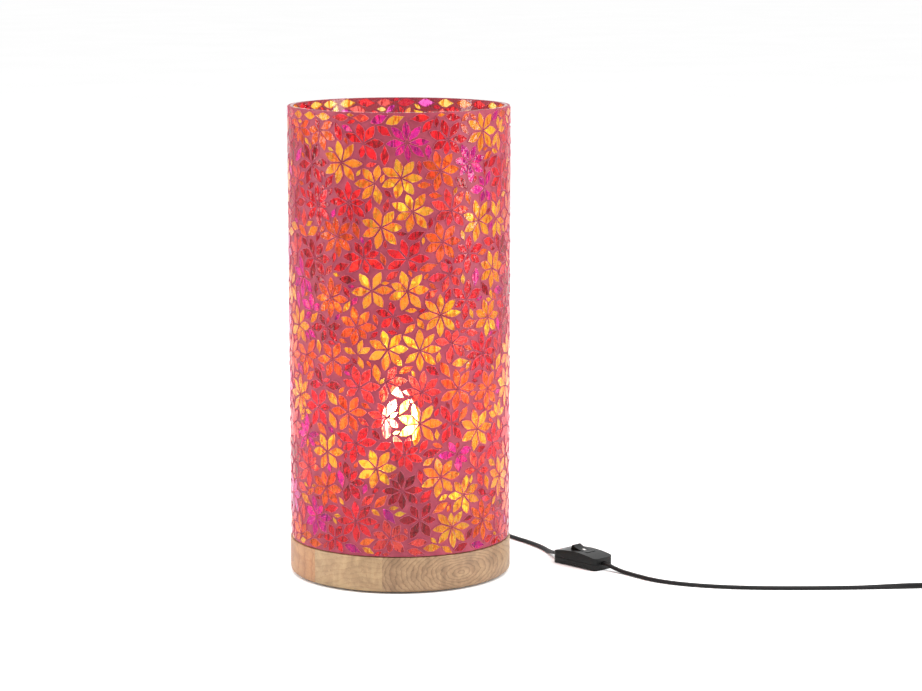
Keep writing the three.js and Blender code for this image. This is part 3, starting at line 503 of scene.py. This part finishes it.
def makeBase():
    b = {key: value * mm for key, value in base.items()}
    edge, top, bottom, radius = b["bottomEdge"], b["top"], b["bottom"], b["radius"]
    body = turned([
        (b["nippleHole"], b["recessTop"]), (b["recessRadius"], b["recessTop"]),
        (b["recessRadius"], b["coverTop"]), (b["coverRadius"], b["coverTop"]), (b["coverRadius"], bottom),
        *arc(radius - edge, bottom + edge, edge, -90, 0),
        *arc(radius - b["topEdge"], top - b["topEdge"], b["topEdge"], 0, 90, 4),
        (b["grooveOuter"], top), (b["grooveOuter"], b["grooveFloor"]), (b["grooveInner"], b["grooveFloor"]),
        (b["grooveInner"], top), (b["nippleHole"], top),
    ], steps=128)
    drill = bmesh.new()
    bmesh.ops.create_cone(drill, cap_ends=True, segments=24, radius1=b["leadHole"], radius2=b["leadHole"],
                          depth=b["drillDepth"])
    laid = Matrix.Translation((0, b["drillMiddle"], b["leadHeight"])) @ Matrix.Rotation(math.pi / 2, 4, "X")
    moved(drill, laid)
    bmesh.ops.recalc_face_normals(drill, faces=drill.faces)
    makePiece("turned_base", lessThan(body, drill), [makeWood()], replaced=["wooden_base"],
              sharp=30)

makeBase()
print("stage: base turned")

# The glass tube and its mosaic: leaf-shaped petals in flowers, set in tinted grout.
tube = {"inner": 99, "outer": 102, "bottom": 27.5, "rim": 445, "edge": 0.7}
aroundSteps = 160
mosaic = {
    "radius": 102.3, "petalLength": 19.2, "petalWidth": 9.7, "thickness": 2.0, "edge": 0.28, "crown": 0.2,
    "outline": 12, "spacing": 0.3, "lowest": 36.0, "highest": 444.4, "lift": 0.35, "tilt": 0.025,
    "groutOuter": 103.85, "groutInner": 102.12, "groutBottom": 35.4, "groutTop": 444.7,
    "bedGap": 0.12, "bedDepth": 2.0, "bedHeight": 5.0,
}
petalTones = {
    # tone of the body, of its deep streaks and of the light through it, and how common it is
    "crimson": {"light": "bc0428", "deep": "7c0218", "tint": "dc2840", "weight": 0.12},
    "red": {"light": "f01a30", "deep": "9c0a20", "tint": "fc4e48", "weight": 0.24},
    "coral": {"light": "f85048", "deep": "b42834", "tint": "ffa898", "weight": 0.13},
    "orange": {"light": "ff7a1c", "deep": "c04410", "tint": "ffc070", "weight": 0.17},
    "amber": {"light": "ffd02c", "deep": "de7c0c", "tint": "fff89c", "weight": 0.26},
    "magenta": {"light": "f01cb4", "deep": "9c0c74", "tint": "ff90e6", "weight": 0.08},
}
# Flowers that the front of the lamp is known by: (degrees from the front, height) of each, by colour.
frontFlowers = {
    "amber": [
        (-30, 399), (1, 386), (-12, 381), (-9, 341), (44, 344), (55, 298), (-14, 283), (4, 283), (21, 260),
        (51, 253), (-6, 229), (10, 228), (10, 160), (43, 150), (-40, 130), (-12, 118), (21, 109), (34, 90),
        (27, 61), (71, 184), (63, 100), (47, 426),
    ],
    "orange": [
        (21, 392), (22, 327), (-33, 331), (-37, 274), (-22, 249), (-36, 217), (31, 190), (51, 186),
        (-27, 169), (-41, 96), (47, 63),
    ],
    "red": [
        (-18, 417), (25, 420), (-26, 363), (-18, 313), (4, 312), (37, 315), (36, 272), (-3, 260),
        (-46, 171), (-23, 141), (2, 132), (27, 158), (-23, 68),
    ],
    "coral": [
        (26, 297), (27, 233), (-21, 193), (-7, 199), (11, 189), (-7, 166), (43, 111), (-54, 112),
    ],
    "crimson": [
        (-50, 396), (-67, 357), (-48, 309), (-40, 247), (-42, 192), (-27, 104), (1, 98), (10, 70), (51, 86),
    ],
    "magenta": [(4, 418), (38, 398), (-58, 290), (30, 129), (-48, 67)],
}

def sheenOver(tree, under, roughness, normal=None, base=0.022):
    # A glossy outer face over any shader, stronger at a glance. Inside the glass it is all clear.
    facing = addNode(tree, "LayerWeight", {"Blend": 0.5}).outputs["Facing"]
    share = calc(tree, "MULTIPLY_ADD", calc(tree, "POWER", facing, 5.0), 0.75, base)
    glossy = addNode(tree, "BsdfGlossy", {"Color": (1, 1, 1, 1), "Roughness": roughness})
    if normal:
        tree.links.new(normal, glossy.inputs["Normal"])
    outside = blended(tree, share, under, glossy.outputs[0])
    clear = addNode(tree, "BsdfTransparent", {"Color": (1, 1, 1, 1)}).outputs[0]
    return blended(tree, addNode(tree, "NewGeometry").outputs["Backfacing"], outside, clear)

def petalGlass(name, light, deep, tint):
    # Hand-cut tinted glass: nearly clear, a little milky, with dark streaks and a rolled, glossy face. Its
    # milky share also glows with painted light, as if the bulb lit it from inside.
    material, tree = newMaterial(name)
    shade = addNode(tree, "Attribute", attribute_name="petalShade").outputs["Fac"]
    cloud = noiseAt(tree, 0.009, (1, 1, 0.6), detail=4.0, roughness=0.6, distortion=1.2)
    streaks = noiseAt(tree, 0.0026, (1, 1, 0.2), detail=2.0, distortion=0.6)
    level = calc(tree, "MULTIPLY_ADD", cloud, 0.5, calc(tree, "MULTIPLY", shade, 0.4))
    vein = calc(tree, "MULTIPLY", between(tree, streaks, 0.54, 0.63), 0.62)
    toned = calc(tree, "SUBTRACT", level, vein)
    colour = ramp(tree, toned, [(0.1, deep), (0.6, light)])
    through = ramp(tree, toned, [(0.0, deep), (0.25, light), (0.62, tint)])
    clear = addNode(tree, "BsdfTransparent", {"Color": through}).outputs[0]
    glow = addNode(tree, "BsdfTranslucent", {"Color": colour}).outputs[0]
    # The body's emission is painted glow: the petal shines in its own colour though it is no lamp.
    body = addNode(tree, "BsdfPrincipled", {
        "Base Color": colour, "Roughness": 0.3, "Specular IOR Level": 0.0,
        "Emission Color": colour, "Emission Strength": 1.0,
    }).outputs[0]
    milkAndPaintedGlow = blended(tree, 0.45, body, glow)
    glass = blended(tree, spread(tree, cloud, 0.52, 0.8), milkAndPaintedGlow, clear)
    ripple = bumpFrom(tree, noiseAt(tree, 0.006, detail=1.5), 0.0012)
    return close(material, tree, sheenOver(tree, glass, 0.08, ripple))

def groutFinish(name, low, high, glowing, gloss):
    # Tinted grout: cloudy, faintly sandy, and lit through by its glowing share.
    material, tree = newMaterial(name)
    cloud = noiseAt(tree, 0.012, detail=4.0, roughness=0.6)
    sand = noiseAt(tree, 0.0005, detail=2.0)
    colour = ramp(tree, calc(tree, "MULTIPLY_ADD", cloud, 0.7, calc(tree, "MULTIPLY", sand, 0.3)),
                  [(0.3, low), (0.7, high)])
    body = addNode(tree, "BsdfPrincipled", {
        "Base Color": colour, "Roughness": spread(tree, cloud, gloss, gloss + 0.2),
        "Specular IOR Level": 0.3, "Normal": bumpFrom(tree, sand, 0.00008),
    }).outputs[0]
    glow = addNode(tree, "BsdfTranslucent", {"Color": colour}).outputs[0]
    solid = blended(tree, glowing, body, glow)
    # The thin grout lets a trace of the bulb shine through it.
    thin = addNode(tree, "BsdfTransparent", {"Color": tone("ff9aa0")}).outputs[0]
    return close(material, tree, blended(tree, 0.03, solid, thin))

def clearGlass(name):
    # Thin clear glass: the light goes straight through and only the sheen is added.
    material, tree = newMaterial(name)
    smear = noiseAt(tree, 0.05, detail=3.0)
    clear = addNode(tree, "BsdfTransparent", {
        "Color": ramp(tree, smear, [(0.3, "fcf0f0"), (0.7, "fffafa")]),
    }).outputs[0]
    return close(material, tree, sheenOver(tree, clear, 0.05, base=0.02))

petalFinishes = {colour: petalGlass(colour + "Glass", tones["light"], tones["deep"], tones["tint"])
                 for colour, tones in petalTones.items()}
petalEdge = groutFinish("petalEdge", "b04a60", "cc6c80", 0.3, 0.25)
groutBody = groutFinish("grout", "8e3044", "b04c5e", 0.25, 0.3)
tubeGlass = clearGlass("clearGlass")

def halfWidth(share):
    # Half a petal's width at a share of its length: pointed at both ends, slimmer at the inner one.
    return max(math.sin(math.pi * share), 0) ** 0.78 * min(1, 0.2 + 1.5 * share)

def leafOutline(grow=0.0):
    # A leaf drawn from a circle: its sides pinch in towards two points.
    bm = bmesh.new()
    bmesh.ops.create_circle(bm, cap_ends=True, segments=mosaic["outline"], radius=1)
    length, width = mosaic["petalLength"] / 2 + grow, mosaic["petalWidth"] / 2 + grow
    for corner in bm.verts:
        along, across = corner.co.y, corner.co.x
        atTip = abs(across) < 0.01
        side = 0 if atTip else math.copysign(halfWidth((1 + along) / 2), across)
        corner.co = Vector((along * length, side * width, 0)) * mm
    bmesh.ops.recalc_face_normals(bm, faces=bm.faces)
    return bm

def raised(bm, depth):
    # The flat outline made a slab, standing from the plane up to depth.
    if bm.faces[:][0].normal.z > 0:
        bmesh.ops.reverse_faces(bm, faces=bm.faces)
    made = bmesh.ops.extrude_face_region(bm, geom=bm.faces[:])
    top = [part for part in made["geom"] if isinstance(part, bmesh.types.BMVert)]
    bmesh.ops.translate(bm, verts=top, vec=(0, 0, depth))
    bmesh.ops.recalc_face_normals(bm, faces=bm.faces)
    return [part for part in made["geom"] if isinstance(part, bmesh.types.BMFace)][0]

def meshOf(name, bm):
    mesh = bpy.data.meshes.new(name)
    bm.to_mesh(mesh)
    bm.free()
    return mesh

def petalTemplate():
    bm = leafOutline()
    top = raised(bm, (mosaic["thickness"] - mosaic["crown"]) * mm)
    for face in bm.faces:
        face.material_index = 1
    bm.faces.ensure_lookup_table()
    bmesh.ops.inset_region(bm, faces=[top], thickness=mosaic["edge"] * mm, depth=mosaic["crown"] * mm)
    for face in bm.faces:
        if abs(face.normal.z) > 0.98:
            face.material_index = 0
    return meshOf("petalTemplate", bm)

def cutterTemplate():
    bm = leafOutline(grow=mosaic["bedGap"])
    raised(bm, mosaic["bedHeight"] * mm)
    bmesh.ops.translate(bm, verts=bm.verts, vec=(0, 0, -mosaic["bedDepth"] * mm))
    return meshOf("cutterTemplate", bm)

# How the petals are laid: flowers in rows at the sides and back, then the rim, then the gaps.
flowerShape = {
    "counts": (6, 7, 7, 7, 8), "least": 0.94, "most": 1.05, "shares": (1, 0.86, 0.72), "sway": 0.07,
    "centreGap": 0.7,
}
flowerRows = {
    "count": 12, "flowers": 17, "lowest": 44, "pitch": 33.6, "driftX": 3, "driftZ": 3.5, "from": 58,
}
rimRow = {
    "below": 4.6, "shortest": 16.5, "longest": 19, "narrowest": 7.6, "widest": 8.8, "sway": 0.08,
    "leastGap": 0.5, "mostGap": 3, "endRoom": 18,
}
gaps = {
    "across": 214, "up": 136, "lowest": 37.5, "step": 3, "flowerSpots": 7000,
    # fewest petals of a flower and the room that it needs, then the sizes of single petals
    "flowers": ((7, 18), (6, 15), (5, 11), (4, 8)),
    "singles": (1.0, 0.9, 0.8, 0.7, 0.6, 0.5, 0.42), "turns": 8,
}

def drift(most):
    return random.uniform(-most, most)

class PetalPlan:
    # Where each petal goes, on the tube rolled out flat in millimetres, with none touching another.
    # A petal is seven circles along its length, kept in square cells for a quick search.
    def __init__(self):
        self.columns = 50
        self.around = 2 * math.pi * mosaic["radius"]
        self.cell = self.around / self.columns
        self.cells = {}
        self.petals = []

    def circlesOf(self, x, z, turn, long, wide):
        circles = []
        for share in (0.5, 0.08, 0.92, 0.25, 0.75, 0.4, 0.6):
            gone = long * (share - 0.5)
            circles.append(((x + gone * math.cos(turn)) % self.around, z + gone * math.sin(turn),
                            wide / 2 * halfWidth(share)))
        return circles

    def cellOf(self, x, z):
        return int(x / self.cell), int(z / self.cell)

    def fits(self, petal):
        for x, z, radius in self.circlesOf(*petal):
            if z - radius < mosaic["lowest"] or z + radius > mosaic["highest"]:
                return False
            column, row = self.cellOf(x, z)
            for i in (-1, 0, 1):
                for k in (-1, 0, 1):
                    for a, b, other in self.cells.get(((column + i) % self.columns, row + k), ()):
                        across = abs(x - a)
                        across = min(across, self.around - across)
                        if across ** 2 + (z - b) ** 2 < (radius + other + mosaic["spacing"]) ** 2:
                            return False
        return True

    def keep(self, petal, colour):
        for circle in self.circlesOf(*petal):
            column, row = self.cellOf(*circle[:2])
            self.cells.setdefault((column % self.columns, row), []).append(circle)
        self.petals.append((*petal, colour))

    def flower(self, x, z, colour, least=0, tries=6):
        # The turn that lets most of its petals in, each as long as it can be.
        count = random.choice(flowerShape["counts"])
        size = random.uniform(flowerShape["least"], flowerShape["most"])
        best = []
        for k in range(tries):
            start = 2 * math.pi / count * (k / tries + random.uniform(0, 0.1))
            free = []
            for i in range(count):
                turn = start + 2 * math.pi * i / count + drift(flowerShape["sway"])
                for share in flowerShape["shares"]:
                    long = mosaic["petalLength"] * size * share * random.uniform(0.94, 1.04)
                    wide = mosaic["petalWidth"] * min(1, 7 / count)
                    wide = wide * (0.35 + 0.65 * share) * random.uniform(0.9, 1.0)
                    gone = flowerShape["centreGap"] + long / 2
                    petal = (x + gone * math.cos(turn), z + gone * math.sin(turn), turn, long, wide)
                    if self.fits(petal):
                        free.append(petal)
                        break
            if len(free) > len(best):
                best = free
            if len(best) == count:
                break
        if len(best) >= least:
            for petal in best:
                self.keep(petal, colour)

def pickColour():
    return random.choices(list(petalTones), [tones["weight"] for tones in petalTones.values()])[0]

def planRows(plan):
    # Rows set off against each other, with none of their flowers exactly in line.
    for row in range(flowerRows["count"]):
        for place in range(flowerRows["flowers"]):
            x = plan.around * (place + 0.5 * (row % 2)) / flowerRows["flowers"] + drift(flowerRows["driftX"])
            angle = (x / mosaic["radius"] + math.pi) % (2 * math.pi) - math.pi
            if abs(angle) > math.radians(flowerRows["from"]):
                z = flowerRows["lowest"] + row * flowerRows["pitch"] + drift(flowerRows["driftZ"])
                plan.flower(x, z, pickColour(), least=2)

def planRim(plan):
    x = 0.0
    while x < plan.around - rimRow["endRoom"]:
        long = random.uniform(rimRow["shortest"], rimRow["longest"])
        petal = (x, mosaic["highest"] - rimRow["below"], drift(rimRow["sway"]), long,
                 random.uniform(rimRow["narrowest"], rimRow["widest"]))
        if plan.fits(petal):
            plan.keep(petal, pickColour())
        x += long + random.uniform(rimRow["leastGap"], rimRow["mostGap"])

def planGaps(plan):
    spots = [(plan.around * i / gaps["across"], gaps["lowest"] + k * gaps["step"])
             for i in range(gaps["across"]) for k in range(gaps["up"])]
    random.shuffle(spots)
    for least, room in gaps["flowers"]:
        for x, z in spots[:gaps["flowerSpots"]]:
            if plan.fits((x, z, 0, room, room)):
                plan.flower(x, z, pickColour(), least, tries=2)
    for size in gaps["singles"]:
        for x, z in spots:
            x, z = x + drift(1), z + drift(1)
            long = mosaic["petalLength"] * size * random.uniform(0.95, 1.03)
            wide = long * random.uniform(0.44, 0.52)
            if not plan.fits((x, z, 0, wide * 0.9, wide)):
                continue
            turn = random.uniform(0, math.pi)
            for step in range(gaps["turns"]):
                petal = (x, z, turn + step * math.pi / gaps["turns"], long, wide)
                if plan.fits(petal):
                    plan.keep(petal, pickColour())
                    break

def planPetals():
    plan = PetalPlan()
    for colour, places in frontFlowers.items():
        for angle, height in places:
            plan.flower(mosaic["radius"] * math.radians(angle), height, colour)
    planRows(plan)
    planRim(plan)
    planGaps(plan)
    print("petals planned:", len(plan.petals))
    return plan.petals

def placeOf(x, z, turn, lift, tilt):
    # From the petal's own flat frame to its place on the tube; the front is at no angle.
    around = Matrix.Rotation(x / mosaic["radius"], 4, "Z")
    facing = around @ Matrix.Translation((0, -(mosaic["radius"] + lift) * mm, z * mm))
    upright = facing @ Matrix.Rotation(math.pi / 2, 4, "X")
    return upright @ Matrix.Rotation(turn, 4, "Z") @ Matrix.Rotation(tilt, 4, "X")

def addCopy(whole, template, place):
    template.transform(place)
    whole.from_mesh(template)
    template.transform(place.inverted())

def makeMosaic():
    petals = planPetals()
    template, cutter = petalTemplate(), cutterTemplate()
    corners = len(template.vertices)
    beds = bmesh.new()
    groups = {colour: (bmesh.new(), []) for colour in petalTones}
    for x, z, turn, long, wide, colour in petals:
        scale = Matrix.Diagonal((long / mosaic["petalLength"], wide / mosaic["petalWidth"], 1, 1))
        lift = random.uniform(0, mosaic["lift"])
        group, shades = groups[colour]
        addCopy(group, template, placeOf(x, z, turn, lift, drift(mosaic["tilt"])) @ scale)
        addCopy(beds, cutter, placeOf(x, z, turn, 0, 0) @ scale)
        shades.append(random.random())
    replaced = ["mosaic_skin"]
    for colour, (group, shades) in groups.items():
        piece = makePiece("petals_" + colour, group, [petalFinishes[colour], petalEdge],
                          sharp=28, replaced=replaced)
        replaced = []
        shade = piece.data.attributes.new("petalShade", "FLOAT", "POINT")
        shade.data.foreach_set("value", np.repeat(np.array(shades), corners).astype(np.float32))
    inner, outer, low, high = (mosaic["grout" + side] * mm for side in ("Inner", "Outer", "Bottom", "Top"))
    wall = turned([(inner, low), (outer, low), (outer, high), (inner, high)], steps=aroundSteps)
    bmesh.ops.recalc_face_normals(beds, faces=beds.faces)
    makePiece("grout_wall", lessThan(wall, beds, "MANIFOLD"), [groutBody], sharp=25)

def makeTube():
    t = {key: value * mm for key, value in tube.items()}
    makePiece("glass_tube", turned([
        (t["inner"], t["bottom"]), (t["outer"], t["bottom"]),
        *arc(t["outer"] - t["edge"], t["rim"] - t["edge"], t["edge"], 0, 90, 4),
        *arc(t["inner"] + t["edge"], t["rim"] - t["edge"], t["edge"], 90, 180, 4),
    ], steps=aroundSteps), [tubeGlass], replaced=["glass_cylinder"], sharp=50)

makeTube()
makeMosaic()
print("stage: glass and mosaic set")

# The bulb: an opal candle that gives the lamp its light, strongest above its collar.
bulb = {"glowStrength": 60.0, "collarTop": 0.132, "fullFrom": 0.15}
opal, tree = newMaterial("opalGlow")
cloud = noiseAt(tree, 0.02)
height = addNode(tree, "SeparateXYZ", {0: addNode(tree, "TexCoord").outputs["Object"]}).outputs["Z"]
upward = between(tree, height, bulb["collarTop"], bulb["fullFrom"])
milky = addNode(tree, "BsdfPrincipled", {
    "Base Color": ramp(tree, cloud, [(0.3, "fff2e0"), (0.7, "fffaf0")]),
    "Roughness": spread(tree, cloud, 0.25, 0.35),
    "Emission Color": ramp(tree, upward, [(0.0, "8a7860"), (1.0, "ffe2b8")]),
    "Emission Strength": bulb["glowStrength"],
}).outputs[0]
close(opal, tree, milky)
finishes["opal_bulb"] = opal
print("stage: bulb lit")

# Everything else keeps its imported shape, with edges broken to suit its size.
ownEdge = {
    "holder_cap": 0.6, "holder_shell": 0.6, "bulb_body": 0.8, "bulb_envelope": 0, "felt_ring": 0.3,
    "base_cover": 0.4,
}
for node, packed in list(frame["nodes"].items()):
    if not packed.hide_render:
        refined(node, edge=ownEdge.get(node, fineEdge))
print("stage: fittings finished")
